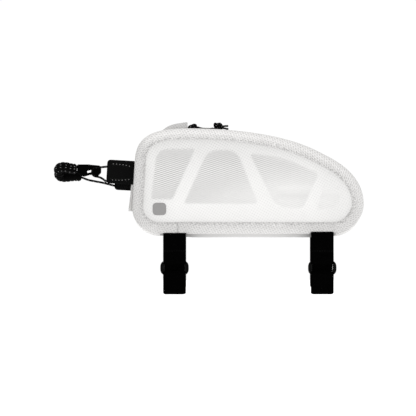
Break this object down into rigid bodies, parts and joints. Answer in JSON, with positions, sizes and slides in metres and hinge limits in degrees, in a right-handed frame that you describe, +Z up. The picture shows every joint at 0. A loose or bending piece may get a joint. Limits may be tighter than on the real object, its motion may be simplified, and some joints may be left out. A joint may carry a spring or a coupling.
{
  "type": "top tube bag",
  "caption": "Slim soft bag that sits on a bicycle's top tube, held by straps underneath and a hooked elastic cord at its front, zipped along its top.",
  "frame": {"origin": "underside of the base, on the middle plane, halfway between the straps, where the bag sits on the top tube", "axes": "+X to the rear of the bicycle along the top tube, +Y to the bag's right side, +Z up"},
  "size_m": [0.3281, 0.0586, 0.1815],
  "materials": {
    "side_fabric": "translucent ripstop weave, satin",
    "stiffener_board": "smooth white sheet",
    "badge_patch": "satin moulded patch",
    "knit_mesh": "matt textured knit",
    "base_fabric": "smooth coated fabric",
    "zip_cloth": "black woven tape",
    "slider_metal": "black enamel",
    "black_plastic": "satin moulded plastic",
    "webbing": "hook and loop webbing, matt",
    "tab_rubber": "matt rubberised",
    "cord": "braided sleeve"
  },
  "bodies": {
    "root": {"side_panel_left": "side_fabric", "side_panel_right": "side_fabric", "truss_stiffener_left": "stiffener_board", "truss_stiffener_right": "stiffener_board", "badge": "badge_patch", "binding_left": "knit_mesh", "binding_right": "knit_mesh", "gusset": "knit_mesh", "base_panel": "base_fabric", "zip_tape": "zip_cloth", "zip_coil": "black_plastic", "zip_slider": "slider_metal", "pull_cord": "cord", "pull_knot": "cord", "pull_tail_left": "cord", "pull_tail_right": "cord", "zip_garage": "knit_mesh", "front_strap_short": "webbing", "front_strap_long": "webbing", "front_strap_ring": "black_plastic", "rear_strap_short": "webbing", "rear_strap_long": "webbing", "rear_strap_ring": "black_plastic", "tab_left": "tab_rubber", "tab_right": "tab_rubber", "front_flap": "knit_mesh", "cord_grip": "tab_rubber", "hook": "black_plastic", "cord_long": "cord", "cord_loop": "cord"}
  },
  "joints": []
}
